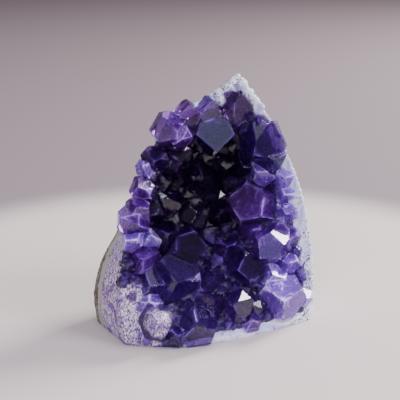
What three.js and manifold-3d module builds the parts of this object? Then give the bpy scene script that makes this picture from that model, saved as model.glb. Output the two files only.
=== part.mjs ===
// Amethyst cluster: a wedge broken from the wall of a geode, with its base cut flat.
// Millimetres, +Z up. The crystals face -Y. The origin is the middle of the cut base.
//
// From back to front the wall is a skin of basalt, a rind of banded agate, and a bed of
// milky quartz. The amethyst crystals stand on the bed, and each is a node of its own.

import * as THREE from 'three';
import { ConvexGeometry } from 'three/addons/geometries/ConvexGeometry.js';
import { mergeVertices } from 'three/addons/utils/BufferGeometryUtils.js';
import Module from 'manifold-3d';

const wasm = await Module();
wasm.setup();

// ---------------------------------------------------------------- driving dimensions

const GAP = 0.3; // clearance between neighbouring pieces
const EDGE_GAP = 0.5; // the same along the rind's lip and foot, where the surfaces slant
const SKIN_THICKNESS = 2.4; // basalt
const RIND_THICKNESS = 2.6; // agate
const BOWL_DEPTH = 13; // how far the bed is hollowed behind its rim
const BACK_BULGE = 4.5; // how far the rock swells behind its edges
const BOWL_FULLNESS = 0.8; // below 1 makes the side walls of the bowl steeper
const GRID_ACROSS = 12; // cells of the wall's grid
const GRID_UP = 15;
const RIND_LIP = 0.055; // share of the width that the rind takes at the right edge
const RIND_FOOT = 0.05; // share of the height that the rind takes along the foot
const FOOT_START = 0.3; // the foot of rind runs from here to the right edge
const BED_TOP = 0.945; // the bed stops here, and bare rind goes on to the peak

// Edges of the wedge's open front, as points [x, y, z]. The peak is at the right-hand corner.
const FRONT_FOOT = [[-29, -8.5, 0], [-19, -15, 0], [-8, -18.5, 0], [8, -19, 0], [20, -18.2, 0],
  [29, -17, 0]];
const FRONT_LEFT = [[-29, -8.5, 0], [-29.5, -6.5, 10], [-28, -4, 22], [-24.5, -1.5, 34],
  [-19.5, 1, 46], [-13.5, 3.5, 57], [-8.5, 5.5, 64]];
const FRONT_RIGHT = [[29, -17, 0], [31, -14.5, 9], [31.8, -10.5, 24], [30.5, -7, 38],
  [27.5, -3.5, 49], [24, 0, 59], [19, 4, 67], [15.5, 7.5, 73.5]];
const FRONT_TOP = [[-8.5, 5.5, 64], [0, 6.5, 65.5], [8, 7, 68], [15.5, 7.5, 73.5]];

// Edges of its back.
const BACK_FOOT = [[-31.5, 9.5, 0], [-20, 14, 0], [-4, 16, 0], [14, 14.5, 0], [27, 6, 0]];
const BACK_LEFT = [[-31.5, 9.5, 0], [-32, 10.5, 7], [-29.5, 10.5, 19], [-22.5, 10.5, 31],
  [-15.5, 11, 43], [-9, 11, 54], [-3, 11, 62.5]];
const BACK_RIGHT = [[27, 6, 0], [29, 6.5, 10], [29.5, 7.5, 24], [28, 8.5, 38], [25, 9.5, 50],
  [20.5, 10.5, 60], [17, 11, 67], [14.5, 10.5, 72.3]];
const BACK_TOP = [[-3, 11, 62.5], [3, 11, 65.5], [9, 11, 68], [14.5, 10.5, 72.3]];

// ---------------------------------------------------------------- the wall's surfaces

function curve(points) {
  return new THREE.CatmullRomCurve3(points.map((p) => new THREE.Vector3(...p)));
}

// A Coons patch: the smooth surface that fills four edge curves.
function patch(foot, left, right, top) {
  const [f, l, r, t] = [foot, left, right, top].map(curve);
  const corners = [f.getPoint(0), f.getPoint(1), t.getPoint(0), t.getPoint(1)];
  return (u, v) => {
    const point = new THREE.Vector3();
    point.addScaledVector(f.getPoint(u), 1 - v).addScaledVector(t.getPoint(u), v);
    point.addScaledVector(l.getPoint(v), 1 - u).addScaledVector(r.getPoint(v), u);
    point.addScaledVector(corners[0], -(1 - u) * (1 - v)).addScaledVector(corners[1], -u * (1 - v));
    point.addScaledVector(corners[2], -(1 - u) * v).addScaledVector(corners[3], -u * v);
    return point;
  };
}

const rimSurface = patch(FRONT_FOOT, FRONT_LEFT, FRONT_RIGHT, FRONT_TOP);
const backSurface = patch(BACK_FOOT, BACK_LEFT, BACK_RIGHT, BACK_TOP);
const clamp01 = (t) => THREE.MathUtils.clamp(t, 0, 1);

// The bed's open surface. Past an edge of the patch it runs straight on, for the cutters.
function bedSurface(u, v) {
  const [cu, cv] = [clamp01(u), clamp01(v)];
  const point = rimSurface(cu, cv);
  const across = Math.sin(Math.PI * cu) ** BOWL_FULLNESS;
  const up = Math.sin(Math.PI * cv) ** 2;
  point.y += BOWL_DEPTH * across * up;
  return extend(point, u, v);
}

const PATCH_WIDTH = 58;
const PATCH_HEIGHT = 72;

function extend(point, u, v) {
  point.x += (u - clamp01(u)) * PATCH_WIDTH;
  point.z += (v - clamp01(v)) * PATCH_HEIGHT;
  return point;
}

// The rock's outer face, swollen in the middle.
function rockSurface(u, v) {
  const [cu, cv] = [clamp01(u), clamp01(v)];
  const point = backSurface(cu, cv);
  point.y += BACK_BULGE * Math.sin(Math.PI * cu) * Math.sin(Math.PI * cv);
  return extend(point, u, v);
}

// A point at a set distance in from the rock's back, measured towards the bed.
function layerSurface(depth) {
  return (u, v) => {
    const back = rockSurface(u, v);
    const inwards = bedSurface(u, v).sub(back).normalize();
    return back.addScaledVector(inwards, depth);
  };
}

// A closed slab between two surfaces, over a range of u and v, on a grid of cells. The start
// of v may change with u.
function slab(front, back, { u: [start, end], foot, top, across = GRID_ACROSS, up = GRID_UP }) {
  const positions = [];
  const index = [];
  const columns = across + 1;
  const layer = columns * (up + 1);
  for (const surface of [front, back]) {
    for (let j = 0; j <= up; j += 1) {
      for (let i = 0; i <= across; i += 1) {
        const u = THREE.MathUtils.lerp(start, end, i / across);
        const v = THREE.MathUtils.lerp(foot(u), top, j / up);
        positions.push(...surface(u, v).toArray());
      }
    }
  }
  const at = (side, i, j) => side * layer + j * columns + i;
  const quad = (a, b, c, d) => index.push(a, b, c, a, c, d);
  for (let j = 0; j < up; j += 1) {
    for (let i = 0; i < across; i += 1) {
      quad(at(0, i, j), at(0, i + 1, j), at(0, i + 1, j + 1), at(0, i, j + 1));
      quad(at(1, i, j), at(1, i, j + 1), at(1, i + 1, j + 1), at(1, i + 1, j));
    }
    quad(at(0, 0, j), at(0, 0, j + 1), at(1, 0, j + 1), at(1, 0, j));
    quad(at(0, across, j), at(1, across, j), at(1, across, j + 1), at(0, across, j + 1));
  }
  for (let i = 0; i < across; i += 1) {
    quad(at(0, i, 0), at(1, i, 0), at(1, i + 1, 0), at(0, i + 1, 0));
    quad(at(0, i, up), at(0, i + 1, up), at(1, i + 1, up), at(1, i, up));
  }
  const geometry = new THREE.BufferGeometry();
  geometry.setAttribute('position', new THREE.Float32BufferAttribute(positions, 3));
  geometry.setIndex(index);
  return geometry;
}

// ---------------------------------------------------------------- solids

function toSolid(geometry) {
  const bare = geometry.clone();
  bare.deleteAttribute('normal');
  bare.deleteAttribute('uv');
  const merged = mergeVertices(bare, 1e-4);
  return new wasm.Manifold(new wasm.Mesh({
    numProp: 3,
    vertProperties: new Float32Array(merged.attributes.position.array),
    triVerts: new Uint32Array(merged.index.array),
  }));
}

function toGeometry(solid) {
  const mesh = solid.getMesh();
  const geometry = new THREE.BufferGeometry();
  geometry.setAttribute('position', new THREE.BufferAttribute(mesh.vertProperties, 3));
  geometry.setIndex(new THREE.BufferAttribute(mesh.triVerts, 1));
  return geometry;
}

function largestBody(solid) {
  return solid.decompose().sort((a, b) => b.volume() - a.volume())[0];
}

const smoothstep = THREE.MathUtils.smoothstep;
const footGap = EDGE_GAP / PATCH_HEIGHT;
const lipGap = EDGE_GAP / PATCH_WIDTH;
const BELOW_BASE = -0.04; // far enough down to clear the base
const BEYOND = 0.12; // how far a cutter runs past the wall's edges
const POCKET_REACH = 12; // how far it stands out in front of the bed

// Where the bed starts above the base: at the base on the left, on the rind's foot further on.
function footOf(u) {
  return THREE.MathUtils.lerp(BELOW_BASE, RIND_FOOT, smoothstep(u, FOOT_START - 0.08, FOOT_START + 0.04));
}

const whole = { u: [0, 1], foot: () => 0, top: 1 };
const skin = toSolid(slab(layerSurface(SKIN_THICKNESS), rockSurface, whole));
const lining = toSolid(slab(bedSurface, layerSurface(SKIN_THICKNESS + GAP), whole));

// The pocket of the rind that the bed fills, open to the front and the left.
function pocket(gaps) {
  const forward = (u, v) => bedSurface(u, v).add(new THREE.Vector3(0, -POCKET_REACH, 0));
  return toSolid(slab(forward, layerSurface(SKIN_THICKNESS + RIND_THICKNESS + (gaps + 1) * GAP), {
    u: [-BEYOND, 1 - RIND_LIP - gaps * lipGap],
    foot: (u) => footOf(u + gaps * lipGap) + gaps * footGap,
    top: BED_TOP - gaps * footGap,
  }));
}

const rind = lining.subtract(pocket(0));
const bed = lining.intersect(pocket(1));

// ---------------------------------------------------------------- crystals

const POINT_ANGLE = THREE.MathUtils.degToRad(51.8); // quartz: from a point face's normal to the axis
const UNEVEN = 0.07; // how much the faces of one crystal differ in growth
const MINOR_FACES = 1.28; // the three lesser point faces grow this much further out, so that
const MINOR_SPREAD = 0.13; // most points are like the corner of a cube, and some more than others
const ROOT_SHARE = 0.9; // a crystal runs in by this share of its stand, and a little more,
const ROOT_EXTRA = 1.5; // before the bed cuts it
const SIDES = 6;
const GROWN_TOGETHER = 0.25; // share of the lesser crystal that makes two crystals one solid

// Each crystal: its name, [x, z] of the spot on the bed under its tip, how far the tip stands
// out, its half-width across flats, the way it points (yaw from the front towards the right,
// pitch up), how its main face is turned about its axis (0 up, 180 down), and how close that
// face lies, where 1 is even growth. A crystal is cut away where it meets one above it.
const CRYSTALS = [
  ['cheek_right_big', [8.2, 34], 9.4, 5.9, -66, 20, 84, 0.78],
  ['foot_right_big', [15.2, 6], 9.5, 7, -24, 14, 2, 0.95],
  ['brow_big', [3.8, 55], 9, 6.2, -14, -26, 2, 0.72],
  ['temple_right', [20, 52], 9, 6.6, -42, -10, 64, 0.9],
  ['crown', [13.2, 67.8], 6, 6.2, -8, 42, 152, 0.92],
  ['lap_left_big', [-13.9, 14.4], 9.5, 7.2, -18, 14, 25, 0.95],
  ['foot_middle', [-10.6, 4.4], 7.5, 5.4, -22, 30, 170, 0.95],
  ['temple_left', [-13.5, 65.5], 7, 4.9, -38, 44, 165, 0.95],
  ['brow_left', [-13, 57.5], 7, 4.6, -26, -6, 4, 0.78],
  ['ear_right', [25.6, 49.8], 6.5, 4.9, -16, 10, 8, 0.85],
  ['lap_right', [12.8, 17.4], 8, 5.2, -50, -8, 40, 0.9],
  ['lap_right_dark', [5.3, 15.2], 7.5, 5, -42, 14, 75, 0.9],
  ['foot_dark', [0.7, 7.2], 7, 4.7, -36, 24, 100, 0.95],
  ['cheek_left_dark', [-18.7, 36.8], 7.5, 4.6, 8, 2, 70, 0.9],
  ['hollow_left_point', [-2.4, 21.6], 8, 5, 36, 8, -72, 0.85],
  ['hollow_top_left', [-10.2, 52.6], 8, 5.7, 6, -2, 10, 0.9],
  ['hollow_top', [1.2, 44], 7, 6.3, -6, 4, 40, 0.9],
  ['shelf_left', [-8.5, 36.8], 7.5, 5.3, 26, 6, 8, 0.85],
  ['rim_left_lower', [-26, 25.5], 7, 4.8, -20, 22, 6, 0.8],
  ['side_left', [-21, 15.4], 6, 4.4, -30, 12, 30, 0.95],
  ['cheek_right_upper', [20.3, 44.8], 6.5, 4.2, -44, 16, 20, 1],
  ['rim_left_tall', [-28.5, 37.5], 4.5, 4.2, -52, 24, 140, 1],
  ['rim_left_point', [-24.8, 33], 6.8, 3.4, -16, 42, 176, 1],
  ['rim_left_inner', [-23.6, 39.5], 5.5, 3.4, -24, 26, 150, 1],
  ['rim_left_upper', [-22.3, 45.3], 5.5, 3.6, -34, 22, 170, 1],
  ['rim_left_high', [-20, 50.8], 4.5, 3, -34, 30, 120, 1],
  ['rim_left_top', [-16.8, 52], 5.5, 3.8, -22, 14, 12, 0.9],
  ['rim_left_crest', [-27.5, 30.5], 4.5, 3.4, -40, 16, 20, 1],
  ['brow_dark', [-5, 67.5], 6, 3.8, -12, 46, 176, 0.95],
  ['crown_left', [3.8, 67.5], 4.5, 4.2, -6, 40, 176, 1],
  ['hollow_middle', [6.8, 32], 6, 5.3, -8, 34, 166, 0.95],
  ['hollow_high', [9.9, 46], 6, 5.7, -14, 2, 12, 1],
  ['hollow_high_right', [15.5, 46.5], 5.5, 5.1, -30, 6, 40, 1],
  ['hollow_deep', [-2, 31.8], 5.5, 5.5, 8, 20, 30, 1],
  ['hollow_centre', [4.5, 39.5], 5.5, 5.3, -4, 12, 50, 1],
  ['hollow_low', [-1.4, 15.6], 5.5, 5.5, -4, 36, 150, 1],
  ['hollow_left', [-14.5, 27.5], 7.5, 5.3, -6, 26, 10, 1],
  ['hollow_floor', [-4, 9.8], 6, 4.7, -10, 40, 10, 1],
  ['hollow_right_low', [4, 21.5], 6.5, 4.7, -22, 26, 12, 1],
  ['hollow_left_high', [-13.5, 45.5], 6.5, 5.1, 14, 4, 20, 1],
  ['lap_right_inner', [13.5, 25.5], 5.5, 4, -26, 22, 12, 1],
  ['rim_right_high', [27.4, 43.2], 4.5, 3.8, -26, 14, 14, 1],
  ['rim_right_upper', [27, 37.6], 4.5, 3.6, -30, 10, 150, 1],
  ['rim_right_middle', [26.4, 31.6], 4.5, 3.8, -34, 12, 30, 1],
  ['rim_right_low', [25.6, 23.6], 5.5, 3.8, -22, 16, 4, 0.9],
  ['rim_right_foot', [22.8, 16.5], 5.5, 3.8, -26, 22, 6, 0.85],
  ['lap_right_low', [16.5, 13.6], 6, 3.8, -30, 28, 40, 1],
  ['foot_right_edge', [26, 6.5], 4.5, 3, -10, 14, 20, 1],
  ['foot_point', [6.4, 3.8], 4.5, 3.2, -12, 30, 172, 1],
  ['foot_small_left', [-15.5, 3.2], 4.5, 2.8, -24, 26, 10, 1],
  ['hollow_left_deep', [-7, 44], 6, 5.1, 10, 2, 40, 1],
  ['shoulder_right', [21, 61], 4.2, 3, -28, 34, 170, 1],
  ['side_left_small', [-21.5, 12], 4, 3.4, -30, 20, 60, 1],
  ['ground_stub', [-20.4, 6.8], 7, 4.9, -24, 28, 10, 1],
];

// The direction at a yaw and pitch, in degrees.
function heading(yaw, pitch) {
  const [y, p] = [yaw, pitch].map(THREE.MathUtils.degToRad);
  return new THREE.Vector3(Math.sin(y) * Math.cos(p), -Math.cos(y) * Math.cos(p), Math.sin(p));
}

// Where the bed's surface has a given x and z, with its outward normal, by Newton's method.
function bedSpot(x, z) {
  const STEP = 1e-3;
  let [u, v] = [0.5, 0.5];
  let normal = null;
  let point = null;
  for (let round = 0; round < 40; round += 1) {
    point = bedSurface(u, v);
    const du = bedSurface(u + STEP, v).sub(bedSurface(u - STEP, v)).divideScalar(2 * STEP);
    const dv = bedSurface(u, v + STEP).sub(bedSurface(u, v - STEP)).divideScalar(2 * STEP);
    normal = new THREE.Vector3().crossVectors(du, dv).normalize();
    const det = du.x * dv.z - dv.x * du.z;
    const [ex, ez] = [x - point.x, z - point.z];
    u += 0.7 * (ex * dv.z - ez * dv.x) / det;
    v += 0.7 * (ez * du.x - ex * du.z) / det;
  }
  return { point, normal };
}

// The flat faces that bound a crystal, as unit normals with a distance from the origin.
function crystalPlanes([, spot, stand, radius, yaw, pitch, turn, main], seed) {
  const axis = heading(yaw, pitch);
  const { point, normal } = bedSpot(...spot);
  const tip = point.clone().addScaledVector(normal, stand);
  const centre = tip.clone().addScaledVector(axis, -radius * Math.tan(POINT_ANGLE));
  const upward = new THREE.Vector3(0, 0, 1).addScaledVector(axis, -axis.z).normalize();
  const minor = MINOR_FACES + MINOR_SPREAD * Math.sin(7.7 * seed);
  const planes = [];
  const addPlane = (n, distance) => planes.push({ n, d: n.dot(centre) + distance });
  for (let k = 0; k < SIDES; k += 1) {
    const angle = THREE.MathUtils.degToRad(-turn) + (k * 2 * Math.PI) / SIDES;
    const outward = upward.clone().applyAxisAngle(axis, angle);
    const growth = 1 + UNEVEN * Math.sin(12.9 * (k + 1) + 4.1 * seed);
    addPlane(outward, radius * growth);
    const pointFace = axis.clone().multiplyScalar(Math.cos(POINT_ANGLE));
    pointFace.addScaledVector(outward, Math.sin(POINT_ANGLE));
    const share = k === 0 ? main : growth * (k % 2 === 0 ? 1 : minor);
    addPlane(pointFace, radius * Math.sin(POINT_ANGLE) * share);
  }
  addPlane(axis.clone().negate(), ROOT_SHARE * stand + ROOT_EXTRA);
  planes.push({ n: new THREE.Vector3(0, 0, -1), d: 0 });
  return planes;
}

// The convex solid inside a set of planes, each moved out by a clearance.
function solidWithin(planes, clearance = 0) {
  const inside = (p) => planes.every(({ n, d }) => n.dot(p) <= d + clearance + 1e-5);
  const corners = [];
  for (let a = 0; a < planes.length; a += 1) {
    for (let b = a + 1; b < planes.length; b += 1) {
      const edge = new THREE.Vector3().crossVectors(planes[a].n, planes[b].n);
      for (let c = b + 1; c < planes.length; c += 1) {
        const det = edge.dot(planes[c].n);
        if (Math.abs(det) > 1e-6) {
          const p = edge.clone().multiplyScalar(planes[c].d + clearance);
          p.add(new THREE.Vector3().crossVectors(planes[b].n, planes[c].n).multiplyScalar(planes[a].d + clearance));
          p.add(new THREE.Vector3().crossVectors(planes[c].n, planes[a].n).multiplyScalar(planes[b].d + clearance));
          p.divideScalar(det);
          if (inside(p) && corners.every((q) => q.distanceTo(p) > 1e-3)) {
            corners.push(p);
          }
        }
      }
    }
  }
  return toSolid(new ConvexGeometry(corners));
}

// What the crystals stand on: the wall moved forward by the gap, with the space behind and
// around it, on the wall's own grid, so that a crystal that leans past the rim is cut in line.
const MARGIN = 4; // cells that the cut runs past each edge of the wall
const CUT_DEPTH = 40;
const raised = (u, v) => bedSurface(u, v).add(new THREE.Vector3(0, -GAP, 0));
const farBehind = (u, v) => bedSurface(u, v).add(new THREE.Vector3(0, CUT_DEPTH, 0));
const behindBed = toSolid(slab(raised, farBehind, {
  u: [-MARGIN / GRID_ACROSS, 1 + MARGIN / GRID_ACROSS],
  foot: () => -MARGIN / GRID_UP,
  top: 1 + MARGIN / GRID_UP,
  across: GRID_ACROSS + 2 * MARGIN,
  up: GRID_UP + 2 * MARGIN,
}));

// ---------------------------------------------------------------- the object

const MATERIALS = {
  basalt: new THREE.MeshStandardMaterial({ color: 0x4b4d45, roughness: 0.95, metalness: 0 }),
  agate: new THREE.MeshStandardMaterial({ color: 0xc3cbd8, roughness: 0.6, metalness: 0 }),
  quartz: new THREE.MeshStandardMaterial({ color: 0xb9a3cc, roughness: 0.55, metalness: 0 }),
  amethyst: new THREE.MeshStandardMaterial({ color: 0x3b1d7a, roughness: 0.1, metalness: 0 }),
};

const cluster = new THREE.Group();

function addPiece(name, solid, material) {
  const mesh = new THREE.Mesh(toGeometry(solid), material);
  mesh.name = name;
  cluster.add(mesh);
}

addPiece('basalt_skin', skin, MATERIALS.basalt);
addPiece('agate_rind', rind, MATERIALS.agate);
addPiece('quartz_bed', bed, MATERIALS.quartz);

const grown = CRYSTALS.map((entry, seed) => {
  const planes = crystalPlanes(entry, seed);
  const solid = solidWithin(planes).subtract(behindBed);
  return { name: `crystal_${entry[0]}`, planes, solid, members: [] };
});

// Crystals that share much of their volume have grown into one another, and are one solid.
grown.forEach((crystal, k) => {
  const joins = (other) => {
    const shared = other.solid.intersect(crystal.solid).volume();
    return shared > GROWN_TOGETHER * Math.min(other.solid.volume(), crystal.solid.volume());
  };
  const lead = grown.slice(0, k).find((other) => other.members.length > 0 && joins(other)) ?? crystal;
  lead.members.push(crystal);
});

// Where others touch, the later one stopped growing: it is cut back to leave the gap.
let taken = behindBed;
for (const { name, members } of grown.filter((crystal) => crystal.members.length > 0)) {
  const joined = members.map(({ planes }) => solidWithin(planes)).reduce((a, b) => a.add(b));
  addPiece(name, largestBody(joined.subtract(taken)), MATERIALS.amethyst);
  taken = members.reduce((sum, { planes }) => sum.add(solidWithin(planes, GAP)), taken);
}

// The origin goes to the middle of the whole object's plan, on its cut base.
const extent = new THREE.Box3().setFromObject(cluster);
const middle = extent.getCenter(new THREE.Vector3());
cluster.position.set(-middle.x, -middle.y, -extent.min.z);

export default cluster;
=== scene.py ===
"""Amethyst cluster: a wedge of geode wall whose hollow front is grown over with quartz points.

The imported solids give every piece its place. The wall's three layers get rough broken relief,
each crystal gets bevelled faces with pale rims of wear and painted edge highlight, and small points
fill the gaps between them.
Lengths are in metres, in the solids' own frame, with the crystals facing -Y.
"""

import logging
import math
from dataclasses import dataclass
from enum import Enum
from typing import Any, ClassVar

import bmesh
import bpy
import numpy as np
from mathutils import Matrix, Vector
from mathutils.bvhtree import BVHTree


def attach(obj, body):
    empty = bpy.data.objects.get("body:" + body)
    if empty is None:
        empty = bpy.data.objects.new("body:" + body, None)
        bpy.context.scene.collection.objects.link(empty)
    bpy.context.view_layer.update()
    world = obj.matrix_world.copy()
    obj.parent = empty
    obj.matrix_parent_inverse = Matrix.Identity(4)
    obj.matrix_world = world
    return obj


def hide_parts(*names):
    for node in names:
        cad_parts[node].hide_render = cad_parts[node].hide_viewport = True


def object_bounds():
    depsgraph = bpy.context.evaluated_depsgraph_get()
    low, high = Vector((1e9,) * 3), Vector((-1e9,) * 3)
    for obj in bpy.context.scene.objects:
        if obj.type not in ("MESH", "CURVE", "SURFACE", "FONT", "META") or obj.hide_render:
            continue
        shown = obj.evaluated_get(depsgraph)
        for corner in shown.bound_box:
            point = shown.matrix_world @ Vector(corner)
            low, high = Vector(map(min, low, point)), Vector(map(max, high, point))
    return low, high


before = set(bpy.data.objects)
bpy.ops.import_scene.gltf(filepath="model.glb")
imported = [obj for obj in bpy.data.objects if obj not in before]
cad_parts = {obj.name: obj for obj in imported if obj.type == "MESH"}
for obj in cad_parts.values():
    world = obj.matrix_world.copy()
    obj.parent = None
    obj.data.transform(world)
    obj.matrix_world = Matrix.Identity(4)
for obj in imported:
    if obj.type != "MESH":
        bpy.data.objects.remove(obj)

MM = 0.001
CAD_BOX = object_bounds()
LOW, HIGH = (np.array(corner) for corner in CAD_BOX)
CENTRE = (LOW + HIGH) / 2

Array = np.ndarray
Triple = tuple[float, float, float]
Colour = Triple
EVEN = (1, 1, 1)
log = logging.getLogger("amethyst")


# ---------------------------------------------------------------- fields

CELL_PRIMES = (73856093, 19349663, 83492791)
HASH_SEED = 2654435761
HASH_ROUNDS = ((15, 2146121005), (14, 74229387))
HASH_LAST_SHIFT = 16
HASH_SIZE = 2**32
FAR_AWAY = 9.0  # lattice spacings, further than any seed can be


def smoothstep(low: float, high: float, x: Array) -> Array:
    """A smooth ramp: 0 below low, 1 above high, and 3t^2 - 2t^3 between them."""
    t = np.clip((x - low) / (high - low), 0, 1)
    return t * t * (3 - 2 * t)


def cell_number(cells: Array, seed: int) -> Array:
    """Gives each whole-number cell a random number from 0 to 1.

    The cell's three coordinates are multiplied by large primes and mixed by exclusive or, and
    the sum is shifted and multiplied twice so that neighbours have nothing in common.

    Args:
        cells: Whole-number coordinates, in the last axis.
        seed: Which random pattern to give.

    Returns:
        One number for each cell.
    """
    whole = cells.astype(np.int64)
    mixed = np.full(whole.shape[:-1], seed * HASH_SEED % HASH_SIZE, dtype=np.int64)
    for axis, prime in enumerate(CELL_PRIMES):
        mixed ^= whole[..., axis] * prime
    mixed %= HASH_SIZE
    for shift, factor in HASH_ROUNDS:
        mixed = ((mixed ^ (mixed >> shift)) * factor) % HASH_SIZE
    return (mixed ^ (mixed >> HASH_LAST_SHIFT)) / HASH_SIZE


def soft_noise(points: Array, grain: float, seed: int) -> Array:
    """Smooth noise from 0 to 1: random numbers at a lattice's corners, blended across each cell.

    Args:
        points: Places, as rows of x, y and z.
        grain: The lattice's spacing.
        seed: Which random pattern to give.

    Returns:
        One number for each point.
    """
    scaled = points / grain
    corner = np.floor(scaled)
    blend = smoothstep(0, 1, scaled - corner)
    total = np.zeros(len(points))
    for offset in np.ndindex(2, 2, 2):
        near = np.where(np.array(offset) == 1, blend, 1 - blend).prod(axis=1)
        total += near * cell_number(corner + offset, seed)
    return total


def cloud(points: Array, grain: float, octaves: int, seed: int) -> Array:
    """Fractal noise from -1 to 1: each octave is half as coarse as the last, and half as strong."""
    strengths = 0.5 ** np.arange(octaves)
    layers = [
        (2 * soft_noise(points, grain * strength, seed + k) - 1) * strength
        for k, strength in enumerate(strengths)
    ]
    return np.sum(layers, axis=0) / strengths.sum()


def grains(points: Array, grain: float, seed: int) -> tuple[Array, Array]:
    """Cells round scattered seeds, one seed at a random place in each cell of a lattice.

    Args:
        points: Places, as rows of x, y and z.
        grain: The lattice's spacing.
        seed: Which random pattern to give.

    Returns:
        The distance to the nearest seed in lattice spacings, and a random number for that seed.
    """
    scaled = points / grain
    corner = np.floor(scaled)
    nearest = np.full(len(points), FAR_AWAY)
    owner = np.zeros(len(points))
    for offset in np.ndindex(3, 3, 3):
        cell = corner + offset - 1
        place = np.stack([cell_number(cell, seed + k) for k in range(3)], axis=1)
        distance = np.linalg.norm(cell + place - scaled, axis=1)
        closer = distance < nearest
        nearest = np.where(closer, distance, nearest)
        owner = np.where(closer, cell_number(cell, seed + 3), owner)
    return nearest, owner


# ---------------------------------------------------------------- meshes


def read_vectors(items: Any, name: str) -> Array:
    """Copies a vector property of a mesh's vertices, faces or normals to an array of rows."""
    flat = np.zeros(len(items) * 3)
    items.foreach_get(name, flat)
    return flat.reshape(-1, 3)


def write_points(mesh: bpy.types.Mesh, points: Array) -> None:
    """Moves a mesh's vertices to the rows of an array."""
    mesh.vertices.foreach_set("co", points.astype(np.float32).ravel())
    mesh.update()


def write_number(mesh: bpy.types.Mesh, name: str, values: Array) -> None:
    """Stores one number for each vertex, for a material to read."""
    layer = mesh.attributes.new(name, "FLOAT", "POINT")
    layer.data.foreach_set("value", values.astype(np.float32))


def place(name: str, mesh: bpy.types.Mesh, slot: str, *nodes: str) -> bpy.types.Object:
    """Puts a finished mesh in the scene as a piece of the object.

    Args:
        name: The piece's name.
        mesh: Its mesh, in its place.
        slot: The record's material slot; it is not used.
        nodes: The CAD nodes that it stands for.

    Returns:
        The new piece.
    """
    piece = bpy.data.objects.new(name, mesh)
    bpy.context.scene.collection.objects.link(piece)
    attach(piece, "root")
    if nodes:
        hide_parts(*nodes)
    log.info("%s: %d faces", name, len(mesh.polygons))
    return piece


def fine_copy(node: str, voxel: float, smoothing: int) -> bpy.types.Mesh:
    """Copies a CAD node's closed surface as an even net of small faces.

    Args:
        node: The CAD node's name.
        voxel: The size of the net's faces.
        smoothing: How many times its corners are rubbed rounder.

    Returns:
        The new mesh, smooth-shaded.
    """
    scratch = bpy.data.objects.new("scratch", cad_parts[node].data.copy())
    bpy.context.scene.collection.objects.link(scratch)
    remesh = scratch.modifiers.new("net", "REMESH")
    remesh.mode = "VOXEL"
    remesh.voxel_size = voxel
    remesh.use_smooth_shade = True
    if smoothing:
        rub = scratch.modifiers.new("rub", "SMOOTH")
        rub.iterations = smoothing
    graph = bpy.context.evaluated_depsgraph_get()
    mesh = bpy.data.meshes.new_from_object(scratch.evaluated_get(graph))
    bpy.data.objects.remove(scratch)
    mesh.materials.clear()
    return mesh


# ---------------------------------------------------------------- shader maths


class Value:
    """A number socket that Python's arithmetic works on: each operator adds a Math node."""

    def __init__(self, sheet: "Sheet", socket: Any) -> None:
        """Wraps a socket of a sheet's node."""
        self.sheet = sheet
        self.socket = socket

    def maths(self, operation: str, *others: Any) -> "Value":
        """Adds a Math node that takes this value first, and then the others."""
        sockets = dict(enumerate([self, *others]))
        return self.sheet.node("ShaderNodeMath", {"operation": operation}, sockets).value()

    def __add__(self, other: Any) -> "Value":
        """Adds another value."""
        return self.maths("ADD", other)

    def __mul__(self, other: Any) -> "Value":
        """Multiplies by another value."""
        return self.maths("MULTIPLY", other)

    def __sub__(self, other: Any) -> "Value":
        """Takes another value away."""
        return self.maths("SUBTRACT", other)

    def __rsub__(self, other: Any) -> "Value":
        """Takes this value away from a number."""
        return (self * -1.0) + other

    __radd__ = __add__
    __rmul__ = __mul__

    def between(self, low: float, high: float) -> "Value":
        """A smooth ramp from 0 at low to 1 at high."""
        settings = {"interpolation_type": "SMOOTHSTEP"}
        sockets = {"Value": self, "From Min": low, "From Max": high}
        return self.sheet.node("ShaderNodeMapRange", settings, sockets).value()

    def held(self) -> "Value":
        """This value, held between 0 and 1."""
        return self.maths("MAXIMUM", 0.0).maths("MINIMUM", 1.0)


class Made:
    """A node that a sheet has made, with a short way to its outputs."""

    def __init__(self, sheet: "Sheet", node: bpy.types.Node) -> None:
        """Wraps a node of a sheet."""
        self.sheet = sheet
        self.node = node

    def out(self, name: str | int = 0) -> Any:
        """An output socket, by name or number."""
        return self.node.outputs[name]

    def value(self, name: str | int = 0) -> Value:
        """An output socket that arithmetic works on."""
        return Value(self.sheet, self.out(name))


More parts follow.
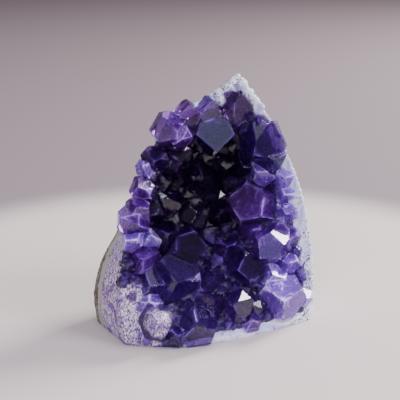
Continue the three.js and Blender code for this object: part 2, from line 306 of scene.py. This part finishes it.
class Sheet:
    """A material's node tree, with one method that makes every node in it."""

    def __init__(self, name: str) -> None:
        """Starts an empty material."""
        self.material = bpy.data.materials.new(name)
        self.material.use_nodes = True
        self.tree = self.material.node_tree
        self.tree.nodes.clear()
        self.coordinates = self.node("ShaderNodeTexCoord").out("Object")

    def node(self, kind: str, settings: dict[str, Any] | None = None,
             sockets: dict[str | int, Any] | None = None) -> Made:
        """Adds a node.

        Args:
            kind: The node's type.
            settings: Its properties, set first.
            sockets: The numbers, colours or links of its inputs, by name or number.

        Returns:
            The node.
        """
        node = self.tree.nodes.new(kind)
        for name, setting in (settings or {}).items():
            setattr(node, name, setting)
        for name, given in (sockets or {}).items():
            source = given.socket if isinstance(given, Value) else given
            if isinstance(source, bpy.types.NodeSocket):
                self.tree.links.new(source, node.inputs[name])
            elif isinstance(source, tuple) and node.inputs[name].type == "RGBA":
                node.inputs[name].default_value = (*source, 1.0)
            else:
                node.inputs[name].default_value = source
        return Made(self, node)

    def noise(self, grain: float, detail: float = 3.0, warp: float = 0.0,
              stretch: Triple = EVEN) -> Value:
        """Fractal noise with a grain in metres, which may be stretched along the axes."""
        place_in = self.coordinates
        if stretch != EVEN:
            place_in = self.node("ShaderNodeMapping", None, {"Vector": place_in, "Scale": stretch}).out()
        sockets = {"Vector": place_in, "Scale": 1 / grain, "Detail": detail, "Distortion": warp}
        return self.node("ShaderNodeTexNoise", None, sockets).value("Fac")

    def cells(self, grain: float, feature: str = "F1") -> Value:
        """Distances in a pattern of cells with a grain in metres."""
        sockets = {"Vector": self.coordinates, "Scale": 1 / grain}
        return self.node("ShaderNodeTexVoronoi", {"feature": feature}, sockets).value("Distance")

    def stored(self, name: str) -> Value:
        """A number that the mesh stores at its vertices."""
        return self.node("ShaderNodeAttribute", {"attribute_name": name}).value("Fac")

    def mix(self, share: Any, first: Any, second: Any) -> Any:
        """Blends two colours: the first where share is 0, and the second where it is 1."""
        sockets = {0: share, 6: first, 7: second}
        return self.node("ShaderNodeMix", {"data_type": "RGBA"}, sockets).out(2)

    def bump(self, height: Value, depth: float, strength: float = 1.0) -> Any:
        """Normals of a fine relief whose height runs from 0 to a depth in metres."""
        sockets = {"Height": height, "Distance": depth, "Strength": strength}
        return self.node("ShaderNodeBump", None, sockets).out()

    def surface(self, **sockets: Any) -> Any:
        """A Principled shader. Sockets are named with _ in place of a space."""
        named = {name.replace("_", " "): given for name, given in sockets.items()}
        return self.node("ShaderNodeBsdfPrincipled", None, named).out()

    def blend(self, share: Value, first: Any, second: Any) -> Any:
        """Blends two shaders: the first where share is 0, and the second where it is 1."""
        return self.node("ShaderNodeMixShader", None, {0: share, 1: first, 2: second}).out()

    def finish(self, surface: Any, volume: Any = None) -> bpy.types.Material:
        """Joins the shaders to the output, and gives the finished material."""
        sockets = {"Surface": surface}
        if volume is not None:
            sockets["Volume"] = volume
        self.node("ShaderNodeOutputMaterial", None, sockets)
        return self.material


# ---------------------------------------------------------------- finishes

QUARTZ_IOR = 1.544
CLEAR = (0.88, 0.78, 0.97)
PAINTED_HOLLOW_SHADE = (0.30, 0.16, 0.34)  # painted shade: the darker tint of clear stone deep in the hollow, which little light reaches
# painted shade: the dark haze colour deep in the hollow
PAINTED_HOLLOW_SHADE_HAZE = (0.010, 0.002, 0.022)


@dataclass(frozen=True)
class AmethystFinish:
    """Clear purple quartz with inner haze, milky veils, and paler rims of wear and painted edge
    highlight; deep in the hollow it is darkened as painted shade.

    Attributes:
        name: The material's name.
        body: Colour that the inner haze sends back.
        rim: Colour of the pale edges, partly wear and partly painted highlight, and of the veils.
        filter: Colour that the clear stone lets through.
        density: How strongly it filters, per metre.
        haze: Share of the light that the inside sends back.
        veil: Strength of the milky veils.
    """

    name: str
    body: Colour
    rim: Colour
    filter: Colour
    density: float
    haze: float
    veil: float

    def make(self) -> bpy.types.Material:
        """Makes the material."""
        sheet = Sheet(self.name)
        shade = sheet.stored("shade")
        zone = sheet.noise(5.0 * MM, 2.0, 0.4)
        fleck = sheet.noise(0.9 * MM, 5.0, 1.2)
        # pale rims: partly wear at the edges, partly painted edge highlight
        wear_and_edge_highlight = (sheet.stored("rim") * zone.between(0.38, 0.62) * (0.3 + 1.1 * fleck)).held()
        cloudy = sheet.noise(2.6 * MM, 3.0, 1.6)
        crack = 1 - sheet.cells(3.4 * MM, "DISTANCE_TO_EDGE").between(0.0, 0.05)
        veil = (crack * zone.between(0.45, 0.6) * 0.5 + cloudy.between(0.56, 0.70)).held()
        growth = sheet.noise(2.4 * MM, 1.0, 0.0, (1.0, 1.0, 2.0))
        relief = sheet.bump(growth, 0.10 * MM, 0.25)
        # painted shade: deep in the hollow, by the stored shade, the clear and the milky stone darken
        clear = sheet.surface(
            Base_Color=sheet.mix(shade, CLEAR, PAINTED_HOLLOW_SHADE),
            Roughness=wear_and_edge_highlight * 0.25 + 0.015,
            IOR=QUARTZ_IOR,
            Transmission_Weight=1.0,
            Normal=relief,
        )
        pale = (veil * self.veil * 0.6 + wear_and_edge_highlight * 0.9).held()
        milky = sheet.surface(
            Base_Color=sheet.mix(shade * 0.85, sheet.mix(pale, self.body, self.rim), PAINTED_HOLLOW_SHADE_HAZE),
            Roughness=0.12 + wear_and_edge_highlight * 0.25,
            IOR=QUARTZ_IOR,
            Normal=relief,
        )
        share = (self.haze * (0.4 + zone) + veil * self.veil + wear_and_edge_highlight * 0.6).held()
        filtering = {"Color": self.filter, "Density": self.density}
        absorb = sheet.node("ShaderNodeVolumeAbsorption", None, filtering)
        # painted shade: deep in the hollow there is also less milky haze
        return sheet.finish(sheet.blend(share * (1 - shade * 0.5), clear, milky), absorb.out())


@dataclass(frozen=True)
class QuartzBedFinish:
    """Milky quartz under the crystals: purple on the druse, and a sugary pale flank."""

    name: str = "milky_quartz"
    druse: Colour = (0.09, 0.03, 0.26)
    shade: Colour = (0.006, 0.002, 0.02)
    crust: Colour = (0.84, 0.71, 0.88)
    tint: Colour = (0.50, 0.34, 0.66)
    speck: Colour = (0.07, 0.035, 0.12)
    lilac: Colour = (0.24, 0.09, 0.50)

    def make(self) -> bpy.types.Material:
        """Makes the material."""
        sheet = Sheet(self.name)
        flank = sheet.stored("flank")
        coarse = sheet.noise(5.0 * MM, 4.0, 0.8)
        fine = sheet.noise(0.7 * MM, 5.0, 1.0)
        grain = sheet.cells(0.75 * MM)
        lit = fine.between(0.35, 0.75) * (1 - sheet.stored("shade"))
        druse = sheet.mix(lit, self.shade, self.druse)
        pores = sheet.noise(0.42 * MM, 4.0, 0.6, (1.0, 1.0, 0.6))
        tinted = sheet.mix((fine * 0.5 + pores * 0.5).between(0.42, 0.62), self.crust, self.tint)
        crust = sheet.mix((coarse + sheet.stored("rubbed") * 0.05).between(0.55, 0.68), tinted, self.lilac)
        specks = pores.between(0.475, 0.56) * (0.5 + 0.5 * grain.between(0.15, 0.5))
        speckled = sheet.mix(specks.held(), crust, self.speck)
        edge = flank + (coarse - 0.5) * 0.6 + (pores - 0.5) * 1.0
        colour = sheet.mix(edge.between(0.38, 0.58), druse, speckled)
        return sheet.finish(sheet.surface(
            Base_Color=colour,
            Roughness=0.32 + 0.35 * fine,
            IOR=QUARTZ_IOR,
            Normal=sheet.bump(fine + grain, 0.18 * MM, 0.7),
        ))


@dataclass(frozen=True)
class AgateFinish:
    """Banded agate: white to pale blue-grey, with green and dark specks by the rock."""

    name: str = "agate"
    white: Colour = (0.84, 0.86, 1.0)
    blue: Colour = (0.42, 0.38, 0.88)
    grey: Colour = (0.50, 0.52, 0.66)
    speck: Colour = (0.04, 0.07, 0.055)
    weathered: Colour = (0.42, 0.38, 0.33)

    def make(self) -> bpy.types.Material:
        """Makes the material."""
        sheet = Sheet(self.name)
        warp = sheet.noise(4.0 * MM, 3.0, 0.4)
        fine = sheet.noise(0.6 * MM, 5.0, 0.8)
        bend = sheet.noise(14.0 * MM, 2.0)
        phase = sheet.stored("layer") * math.tau + warp * 3.5 + bend * 14.0
        broad = (phase * 0.37 + 2.0).maths("SINE")
        band = phase.maths("SINE") * 0.25 + broad * 0.25 + 0.5
        pale = sheet.mix(band.between(0.3, 0.95) * 0.7, self.white, self.blue)
        mottled = sheet.mix(fine.between(0.48, 0.7), pale, self.grey)
        aged = sheet.mix(sheet.stored("aged"), mottled, self.weathered)
        gathered = (warp + sheet.stored("specked") * 0.14).between(0.50, 0.64)
        specks = fine.between(0.53, 0.58) * gathered
        return sheet.finish(sheet.surface(
            Base_Color=sheet.mix(specks.held(), aged, self.speck),
            Roughness=0.35 + 0.3 * fine,
            Normal=sheet.bump(fine + warp * 0.6, 0.15 * MM, 0.6),
        ))


@dataclass(frozen=True)
class BasaltFinish:
    """Weathered basalt: grey-green and brown, with pale crust and dark pits."""

    name: str = "basalt"
    stone: Colour = (0.085, 0.08, 0.062)
    brown: Colour = (0.16, 0.12, 0.085)
    crust: Colour = (0.34, 0.30, 0.26)
    pit: Colour = (0.025, 0.025, 0.02)

    def make(self) -> bpy.types.Material:
        """Makes the material."""
        sheet = Sheet(self.name)
        patch = sheet.noise(9.0 * MM, 5.0, 0.5)
        fine = sheet.noise(1.1 * MM, 6.0, 0.4)
        pits = sheet.stored("pit")
        stone = sheet.mix(patch.between(0.42, 0.62), self.stone, self.brown)
        crust = (patch * 0.5 + fine * 0.5 + sheet.stored("bare") * 0.2).between(0.5, 0.6)
        crusted = sheet.mix(crust, stone, self.crust)
        colour = sheet.mix((pits + fine.between(0.6, 0.7) * 0.5).held(), crusted, self.pit)
        return sheet.finish(sheet.surface(
            Base_Color=colour,
            Roughness=0.75 + 0.2 * fine,
            Normal=sheet.bump(fine, 0.35 * MM, 0.8),
        ))


class Tone(Enum):
    """The amethyst finishes, from the shaded hollow out to the pale rims."""

    DEEP = AmethystFinish(
        "amethyst_deep", (0.014, 0.001, 0.045), (0.14, 0.04, 0.42), (0.60, 0.06, 0.80), 340.0, 0.20, 0.08)
    INDIGO = AmethystFinish(
        "amethyst_indigo", (0.020, 0.001, 0.085), (0.24, 0.10, 0.62), (0.58, 0.05, 0.86), 270.0, 0.26, 0.16)
    PLUM = AmethystFinish(
        "amethyst_plum", (0.034, 0.002, 0.075), (0.25, 0.11, 0.50), (0.64, 0.07, 0.80), 240.0, 0.28, 0.16)
    VIOLET = AmethystFinish(
        "amethyst_violet", (0.085, 0.002, 0.24), (0.42, 0.20, 0.90), (0.64, 0.07, 0.90), 140.0, 0.34, 0.34)
    LILAC = AmethystFinish(
        "amethyst_lilac", (0.24, 0.07, 0.72), (0.72, 0.60, 1.0), (0.74, 0.32, 0.95), 80.0, 0.42, 0.60)


# ---------------------------------------------------------------- the wall

VOXEL = 0.42 * MM
BASE_FADE = 1.2 * MM  # the sawn base stays flat, and the relief grows over this height
BAND_WIDTH = 1.3 * MM  # agate
STUB = "crystal_ground_stub"


def hollow_shade(points: Array) -> Array:
    """How deep a point is in the hollow of the front, where little light reaches: 0 to 1."""
    deep = smoothstep(-7 * MM, 4 * MM, points[:, 1])
    inside = 1 - smoothstep(13 * MM, 21 * MM, np.abs(points[:, 0]))
    under = 1 - smoothstep(52 * MM, 61 * MM, points[:, 2])
    return deep * inside * under


def worn_corner(points: Array) -> Array:
    """How far a point is in the lower left corner, where the druse is rubbed off: 0 to 1."""
    left = smoothstep(17 * MM, 23 * MM, -points[:, 0])
    low = 1 - smoothstep(12 * MM, 24 * MM, points[:, 2])
    return left * low


@dataclass
class WallLayer:
    """A layer of the wall: a fine copy of its CAD solid, with relief along its normals.

    Attributes:
        node: The CAD node.
        slot: The record's material slot.
        finish: What the layer is dressed in.
    """

    node: str
    slot: str
    finish: Any
    smoothing: ClassVar[int] = 0

    def relief(self, points: Array, normals: Array) -> tuple[Array, dict[str, Array]]:
        """The height of the surface at each point, and the numbers to store for the material."""
        raise NotImplementedError

    def build(self) -> bpy.types.Object:
        """Makes the layer: each vertex moves out along its normal by the relief's height."""
        mesh = fine_copy(self.node, VOXEL, self.smoothing)
        points = read_vectors(mesh.vertices, "co")
        normals = read_vectors(mesh.vertex_normals, "vector")
        height, stored = self.relief(points, normals)
        base = LOW[2]
        fade = smoothstep(0, BASE_FADE, points[:, 2] - base)
        moved = points + normals * (height * fade)[:, None]
        moved[:, 2] = np.maximum(moved[:, 2], base)
        write_points(mesh, moved)
        for name, values in stored.items():
            write_number(mesh, name, values)
        mesh.materials.append(self.finish.make())
        return place(self.node + "_rough", mesh, self.slot, self.node)


class BasaltSkin(WallLayer):
    """The host rock: lumps, a rough grain, and the small holes that gas left in the lava."""

    def relief(self, points: Array, normals: Array) -> tuple[Array, dict[str, Array]]:
        """Two sizes of lump and a fine grain, less round pits about their seeds."""
        lumps = 0.75 * cloud(points, 9 * MM, 3, 1) + 0.3 * cloud(points, 2.2 * MM, 3, 5)
        distance, owner = grains(points, 2.6 * MM, 11)
        pits = (1 - smoothstep(0.12, 0.34, distance)) * (owner > 0.62)
        bare = smoothstep(56 * MM, 68 * MM, points[:, 2])
        return (lumps - 0.45 * pits + 0.1) * MM, {"pit": pits, "bare": bare}


class AgateRind(WallLayer):
    """The banded rind: broken in small steps where it shows at the edges."""

    smoothing: ClassVar[int] = 3

    def relief(self, points: Array, normals: Array) -> tuple[Array, dict[str, Array]]:
        """Soft waves and small flat chips, coarser on the bare peak, with the bands' depth."""
        peak = smoothstep(60 * MM, 67 * MM, points[:, 2]) * smoothstep(-1 * MM, 7 * MM, points[:, 0])
        waves = (0.3 + 0.7 * peak) * cloud(points, 4 * MM, 4, 21) + 0.5 * peak
        distance, owner = grains(points, 2.6 * MM, 25)
        chips = (0.3 + 1.1 * peak) * (owner - 0.35) * (1 - smoothstep(0.5, 0.8, distance))
        aged = np.maximum(smoothstep(14 * MM, 22 * MM, -points[:, 0]), 0.25 * peak)
        low = 1 - smoothstep(16 * MM, 30 * MM, points[:, 2])
        specked = np.maximum(smoothstep(20 * MM, 27 * MM, points[:, 0]) * low, peak)
        marks = {"layer": points[:, 1] / BAND_WIDTH, "aged": aged, "specked": specked}
        return (waves + chips + 0.3) * MM, marks


class QuartzBed(WallLayer):
    """The milky quartz bed: a druse of tiny points in front, and a sugary rubbed flank."""

    def relief(self, points: Array, normals: Array) -> tuple[Array, dict[str, Array]]:
        """Peaks about scattered seeds in front, and a fine even grain on the flank."""
        facing = smoothstep(0.15, 0.6, -normals[:, 1])
        flank = smoothstep(0.2, 0.6, -normals[:, 0]) * (1 - smoothstep(0.55, 0.9, -normals[:, 1]))
        corner = worn_corner(points)
        distance, owner = grains(points, 1.9 * MM, 31)
        peaks = (0.5 + 0.5 * owner) * np.clip(1 - distance, 0, 1)
        sugar, _ = grains(points, 0.8 * MM, 35)
        front = 0.45 + 1.1 * peaks
        side = 0.35 * cloud(points, 6 * MM, 3, 37) + 0.3 * (0.5 - sugar) + 0.15
        height = facing * (1 - flank) * front + (1 - facing * (1 - flank)) * side
        marks = {"flank": np.maximum(flank, corner), "rubbed": corner, "shade": hollow_shade(points)}
        return height * MM, marks


class GroundStub(WallLayer):
    """The crystal at the lower left corner, rubbed down to a white-flecked dome."""

    smoothing: ClassVar[int] = 14

    def relief(self, points: Array, normals: Array) -> tuple[Array, dict[str, Array]]:
        """A soft swell with a sugary grain, whose top is whitest."""
        middle = points.mean(axis=0)
        spread = np.linalg.norm(points - middle, axis=1).max()
        away = np.linalg.norm((points - middle)[:, [0, 2]], axis=1) / spread
        sugar, _ = grains(points, 0.7 * MM, 55)
        height = 0.55 + 0.25 * cloud(points, 3 * MM, 3, 51) + 0.3 * (0.5 - sugar)
        bare = np.zeros(len(points))
        white = 1 - 0.7 * smoothstep(0.25, 0.8, away) + 0.35 * cloud(points, 3 * MM, 3, 57)
        return height * MM, {"flank": white, "rubbed": bare, "shade": bare}


# ---------------------------------------------------------------- the crystals

WELD = 0.12 * MM
FLAT_ANGLE = math.radians(1.5)
SHARP_ANGLE = math.radians(14)
BEVEL = 0.11 * MM
RIM_WIDTHS = (0.30 * MM, 0.9 * MM)  # the rings inside each face, over which its pale rim of wear and painted highlight fades
RIM_WEAR_AND_HIGHLIGHT = (0.35, 0.0)  # how pale the corners of each ring are, by wear and painted edge highlight
BROAD_FACE = 3 * MM * MM
MOST_INSET = 0.4  # the most of the way to its middle that a face's corner moves

TONES = {
    Tone.LILAC: (
        "rim_right_high", "rim_right_upper", "rim_right_middle", "rim_right_foot", "rim_left_point",
        "rim_left_high", "side_left_small", "foot_right_big", "cheek_right_upper", "rim_left_crest",
    ),
    Tone.VIOLET: (
        "cheek_right_big", "temple_left", "rim_left_tall", "rim_left_upper", "rim_left_lower",
        "foot_point", "lap_right_inner", "lap_right",
    ),
    Tone.PLUM: ("crown", "brow_dark"),
    Tone.INDIGO: (
        "brow_big", "temple_right", "lap_left_big", "foot_middle", "shelf_left", "hollow_top_left",
    ),
}


def tone_of(node: str) -> Tone:
    """The finish that a crystal's CAD node is dressed in."""
    short = node.removeprefix("crystal_")
    return next((tone for tone, names in TONES.items() if short in names), Tone.DEEP)


@dataclass
class Crystal:
    """One crystal: its CAD solid with bevelled edges, and rings in its faces for a pale rim of wear and
    painted edge highlight.

    Attributes:
        node: The CAD node.
        tone: Its finish.
    """

    node: str
    tone: Tone

    def build(self, finishes: dict[Tone, bpy.types.Material]) -> bpy.types.Object:
        """Makes the crystal from a copy of its CAD solid."""
        net = bmesh.new()
        net.from_mesh(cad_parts[self.node].data)
        bmesh.ops.remove_doubles(net, verts=net.verts, dist=WELD)
        bmesh.ops.dissolve_limit(net, angle_limit=FLAT_ANGLE, verts=net.verts, edges=net.edges)
        sharp = [e for e in net.edges if e.is_manifold and e.calc_face_angle() > SHARP_ANGLE]
        bmesh.ops.bevel(
            net, geom=sharp, offset=BEVEL, segments=2, profile=0.6, affect="EDGES", clamp_overlap=True)
        self._ring_faces(net)
        mesh = bpy.data.meshes.new(self.node)
        net.to_mesh(mesh)
        net.free()
        write_number(mesh, "shade", hollow_shade(read_vectors(mesh.vertices, "co")))
        mesh.materials.append(finishes[self.tone])
        return place(self.node + "_cut", mesh, "amethyst", self.node)

    @staticmethod
    def _ring_faces(net: bmesh.types.BMesh) -> None:
        """Insets each broad face twice, and stores how near each vertex is to an edge.

        An inset moves a face's corners towards its middle by a share of the way, which is the
        ring's width over the radius of a circle with the face's ratio of area to outline.
        """
        rim = net.verts.layers.float.new("rim")
        for vertex in net.verts:
            vertex[rim] = 1.0
        for wear_and_edge_highlight, width in zip(RIM_WEAR_AND_HIGHLIGHT, RIM_WIDTHS):
            broad = [face for face in net.faces if face.calc_area() > BROAD_FACE]
            bmesh.ops.inset_individual(net, faces=broad, thickness=0.0)
            for face in broad:
                middle = face.calc_center_median_weighted()
                radius = 2 * face.calc_area() / face.calc_perimeter()
                share = min(MOST_INSET, width / radius)
                for vertex in face.verts:
                    vertex.co = vertex.co.lerp(middle, share)
                    vertex[rim] = wear_and_edge_highlight


# ---------------------------------------------------------------- small points

SIDES = 6
FRONT = -0.3  # the y of a normal, below which the bed faces the front
PROBE = 0.8 * MM  # how far in front of the bed a place is tested
CLEARANCE = 0.35  # least distance to a crystal, in half-widths
SPACING = 0.75  # least distance between two points, over the sum of their half-widths
POINT_ROOT = 0.6 * MM  # how far a point runs into the bed
POINT_WEAR_AND_HIGHLIGHT = (0.5, 0.45, 0.8)  # how pale a point is at its foot, its shoulder and its tip, by wear and painted highlight
LEAN = 0.28
LEAN_TO = (0, -0.25, 0.15)  # outwards and up
UNEVEN = 0.12  # how much the sides of one point differ
OFF_CENTRE = 0.25  # how far a tip is off its axis, in half-widths


@dataclass
class PointField:
    """Small quartz points that fill the gaps between the crystals, as one joined mesh.

    Attributes:
        name: The piece's name.
        tone: Its finish.
        tries: How many places are tried.
        least: Half-width of the smallest point.
        most: Half-width of the largest.
        reach: Length in front of the bed, in half-widths.
        seed: Which random pattern to give.
    """

    name: str
    tone: Tone
    tries: int
    least: float
    most: float
    reach: float
    seed: int

    def spots(self, rng: np.random.Generator) -> tuple[Array, Array]:
        """Random places on the front of the bed, evenly by area, with their normals."""
        net = bmesh.new()
        net.from_mesh(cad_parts["quartz_bed"].data)
        bmesh.ops.triangulate(net, faces=net.faces)
        corners = np.array([[v.co for v in face.verts] for face in net.faces])
        normals = np.array([face.normal for face in net.faces])
        middles = corners.mean(axis=1)
        areas = np.array([face.calc_area() for face in net.faces]) * (normals[:, 1] < FRONT)
        areas *= 1 - worn_corner(middles)
        net.free()
        chosen = rng.choice(len(areas), self.tries, p=areas / areas.sum())
        shares = rng.dirichlet((1, 1, 1), self.tries)
        return np.einsum("nk,nkd->nd", shares, corners[chosen]), normals[chosen]

    def accept(self, spots: Array, normals: Array, sizes: Array, crystals: BVHTree) -> Array:
        """Keeps the places that are clear of the crystals and of each other.

        Args:
            spots: Places on the bed.
            normals: The bed's normals there.
            sizes: Half-widths of the points.
            crystals: All the crystals' faces.

        Returns:
            Which places to keep.
        """
        kept: list[int] = []
        for k, (spot, normal, size) in enumerate(zip(spots, normals, sizes)):
            probe = Vector(spot + normal * PROBE)
            near, outward, _, distance = crystals.find_nearest(probe)
            inside = (probe - near).dot(outward) < 0
            if inside or distance < CLEARANCE * size or spot[2] - LOW[2] < 2 * size:
                continue
            if kept:
                gaps = np.linalg.norm(spots[kept] - spot, axis=1)
                if np.any(gaps < SPACING * (sizes[kept] + size)):
                    continue
            kept.append(k)
        return np.array(kept)

    def corners(self, crystals: BVHTree) -> Array:
        """Finds the corners of every point.

        Each is a six-sided prism that ends in a six-faced pyramid, a little off centre.

        Args:
            crystals: All the crystals' faces.

        Returns:
            A row for each point, which holds its foot's corners, its shoulder's and its tip.
        """
        rng = np.random.default_rng(self.seed)
        spots, normals = self.spots(rng)
        sizes = self.least + (self.most - self.least) * rng.random(self.tries) ** 2
        kept = self.accept(spots, normals, sizes, crystals)
        spots, normals, sizes = spots[kept], normals[kept], sizes[kept]
        count = len(kept)
        lean = rng.normal(0, LEAN, (count, 3)) + LEAN_TO
        axes = normals + lean
        axes /= np.linalg.norm(axes, axis=1)[:, None]
        across = np.cross(axes, rng.normal(0, 1, (count, 3)))
        across /= np.linalg.norm(across, axis=1)[:, None]
        upward = np.cross(axes, across)
        turn = (np.arange(SIDES) * 2 * math.pi / SIDES)[None, :, None]
        spokes = np.cos(turn) * across[:, None] + np.sin(turn) * upward[:, None]
        spokes *= sizes[:, None, None] * (1 + UNEVEN * rng.normal(0, 1, (count, SIDES)))[..., None]
        length = (self.reach * sizes * (0.7 + 0.6 * rng.random(count)))[:, None, None]
        shoulder = length - sizes[:, None, None] * (1.0 + 0.25 * rng.random((count, SIDES)))[..., None]
        foot = spots[:, None] + spokes - axes[:, None] * POINT_ROOT
        ring = spots[:, None] + spokes + axes[:, None] * np.maximum(shoulder, 0)
        off = across * rng.normal(0, 1, (count, 1)) + upward * rng.normal(0, 1, (count, 1))
        tip = spots + axes * length[:, 0] + OFF_CENTRE * off * sizes[:, None]
        return np.concatenate([foot, ring, tip[:, None]], axis=1)

    def build(self, finishes: dict[Tone, bpy.types.Material], crystals: BVHTree) -> bpy.types.Object:
        """Makes the points as one mesh."""
        points = self.corners(crystals)
        count, each = points.shape[:2]
        faces = [
            tuple(base + i for i in face)
            for base in range(0, count * each, each)
            for face in self._faces()
        ]
        mesh = bpy.data.meshes.new(self.name)
        mesh.from_pydata(points.reshape(-1, 3), [], faces)
        wear_and_edge_highlight = np.repeat(POINT_WEAR_AND_HIGHLIGHT, (SIDES, SIDES, 1))
        write_number(mesh, "rim", np.tile(wear_and_edge_highlight, count))
        write_number(mesh, "shade", hollow_shade(points.reshape(-1, 3)))
        mesh.materials.append(finishes[self.tone])
        return place(self.name, mesh, "amethyst")

    @staticmethod
    def _faces() -> list[tuple[int, ...]]:
        """The faces of one point: its sides, its tip faces, and its foot."""
        faces: list[tuple[int, ...]] = [tuple(reversed(range(SIDES)))]
        for k in range(SIDES):
            after = (k + 1) % SIDES
            faces.append((k, after, SIDES + after, SIDES + k))
            faces.append((SIDES + k, SIDES + after, 2 * SIDES))
        return faces


POINT_FIELDS = (
    PointField("points_large", Tone.INDIGO, 3000, 1.7 * MM, 3.2 * MM, 1.9, 41),
    PointField("points_small", Tone.DEEP, 4000, 0.6 * MM, 1.3 * MM, 2.2, 43),
)


def crystal_faces() -> BVHTree:
    """All the crystals' CAD faces, to measure distances to."""
    points: list[Vector] = []
    faces: list[tuple[int, ...]] = []
    for name, node in sorted(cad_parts.items()):
        if name.startswith("crystal_"):
            start = len(points)
            points.extend(v.co.copy() for v in node.data.vertices)
            faces.extend(tuple(start + i for i in face.vertices) for face in node.data.polygons)
    return BVHTree.FromPolygons(points, faces)


# ---------------------------------------------------------------- the studio

FLOOR_RADIUS = 3.0
FLOOR_RINGS = 24
FLOOR_SPOKES = 96
FLOOR_NEAR = ((0.62, 0.54, 0.51), (0.50, 0.43, 0.40))  # the two colours that it is mottled in
FLOOR_FAR = (0.21, 0.17, 0.183)
FLOOR_FADE = (0.112, 0.150)  # metres from the middle, over which the far colour takes over
ROOM = (0.60, 0.50, 0.56)
ROOM_STRENGTH = 0.4


@dataclass
class Studio:
    """A pale floor, soft lights, and the camera.

    Attributes:
        azimuth: The camera's bearing round the object, in degrees.
        elevation: Its height above the horizon, in degrees.
        distance: How far it stands from what it looks at.
        lens: Its focal length, in millimetres.
        aim: What it looks at, from the middle of the object.
    """

    azimuth: float = -25.0
    elevation: float = 18.0
    distance: float = 0.26
    lens: float = 78.0
    aim: Triple = (-0.7 * MM, 2.6 * MM, 1.25 * MM)

    def camera(self) -> None:
        """Places the camera, looking a little off the middle of the object."""
        turn, rise = math.radians(self.azimuth), math.radians(self.elevation)
        level = math.cos(rise)
        back = Vector((math.sin(turn) * level, -math.cos(turn) * level, math.sin(rise)))
        camera = bpy.data.objects.new("camera", bpy.data.cameras.new("camera"))
        camera.data.lens = self.lens
        camera.data.clip_start = 0.01
        camera.location = Vector(CENTRE) + Vector(self.aim) + back * self.distance
        camera.rotation_euler = back.to_track_quat("Z", "Y").to_euler()
        bpy.context.scene.collection.objects.link(camera)
        bpy.context.scene.camera = camera

    def floor(self) -> None:
        """A flat pale disc, whose colour deepens away from the object."""
        along = np.linspace(0, 1, FLOOR_RINGS + 1)[1:] ** 2 * FLOOR_RADIUS
        turn = np.linspace(0, 2 * math.pi, FLOOR_SPOKES, endpoint=False)
        rim = np.stack([np.outer(along, np.cos(turn)), np.outer(along, np.sin(turn))], axis=-1)
        points = np.concatenate([[[0, 0]], rim.reshape(-1, 2)])
        points = np.column_stack([points, np.full(len(points), LOW[2])])
        faces: list[tuple[int, ...]] = []
        for k in range(FLOOR_SPOKES):
            after = (k + 1) % FLOOR_SPOKES
            faces.append((0, 1 + k, 1 + after))
            for ring in range(FLOOR_RINGS - 1):
                inner = 1 + ring * FLOOR_SPOKES
                outer = inner + FLOOR_SPOKES
                faces.append((inner + k, outer + k, outer + after, inner + after))
        mesh = bpy.data.meshes.new("floor")
        mesh.from_pydata(points, [], faces)
        sheet = Sheet("floor")
        length = sheet.node("ShaderNodeVectorMath", {"operation": "LENGTH"}, {0: sheet.coordinates})
        far = length.value("Value").between(*FLOOR_FADE)
        mottle = sheet.noise(1.2 * MM, 2.0)
        colour = sheet.mix(far, sheet.mix(mottle * 0.35, *FLOOR_NEAR), FLOOR_FAR)
        mesh.materials.append(sheet.finish(sheet.surface(Base_Color=colour, Roughness=0.85)))
        disc = bpy.data.objects.new("floor", mesh)
        bpy.context.scene.collection.objects.link(disc)

    def lamp(self, name: str, place_at: Triple, size: tuple[float, float], power: float,
             colour: Colour) -> None:
        """A soft rectangular lamp that points at the middle of the object."""
        light = bpy.data.lights.new(name, "AREA")
        light.shape = "RECTANGLE"
        light.size, light.size_y = size
        light.energy = power
        light.color = colour
        holder = bpy.data.objects.new(name, light)
        holder.location = place_at
        holder.rotation_euler = (Vector(place_at) - Vector(CENTRE)).to_track_quat("Z", "Y").to_euler()
        bpy.context.scene.collection.objects.link(holder)

    def lights(self) -> None:
        """Two windows on the right, a cool one in front on the left, a sky, and a soft room.

        The small blue patch in front is what the large crystal at the brow reflects.
        """
        self.lamp("window_right", (0.88, 0.14, 0.58), (0.35, 0.42), 24.0, (1.0, 0.97, 0.96))
        self.lamp("window_front", (0.67, -0.64, 0.67), (0.48, 0.58), 12.0, (0.94, 0.92, 1.0))
        self.lamp("window_left", (-0.40, -0.50, 0.60), (0.34, 0.40), 4.5, (0.74, 0.80, 1.0))
        self.lamp("sky_patch", (0.06, -0.72, 0.58), (0.30, 0.30), 0.5, (0.55, 0.64, 1.0))
        self.lamp("sky", (0.05, -0.05, 0.85), (0.9, 0.8), 3.0, (0.90, 0.88, 1.0))
        world = bpy.data.worlds.new("room")
        world.use_nodes = True
        back = world.node_tree.nodes["Background"]
        back.inputs["Color"].default_value = (*ROOM, 1.0)
        back.inputs["Strength"].default_value = ROOM_STRENGTH
        bpy.context.scene.world = world

    def build(self) -> None:
        """Sets the stage."""
        self.camera()
        self.floor()
        self.lights()


# ---------------------------------------------------------------- the object


def main() -> None:
    """Builds the cluster piece by piece, and then the studio round it."""
    logging.basicConfig(level=logging.INFO, format="%(name)s: %(message)s")
    BasaltSkin("basalt_skin", "basalt", BasaltFinish()).build()
    AgateRind("agate_rind", "agate", AgateFinish()).build()
    QuartzBed("quartz_bed", "milky_quartz", QuartzBedFinish()).build()
    GroundStub(STUB, "amethyst", QuartzBedFinish("ground_quartz")).build()

    finishes = {tone: tone.value.make() for tone in Tone}
    for node in sorted(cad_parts):
        if node.startswith("crystal_") and node != STUB:
            Crystal(node, tone_of(node)).build(finishes)

    crystals = crystal_faces()
    for field in POINT_FIELDS:
        field.build(finishes, crystals)

    Studio().build()


if __name__ == "__main__":
    main()
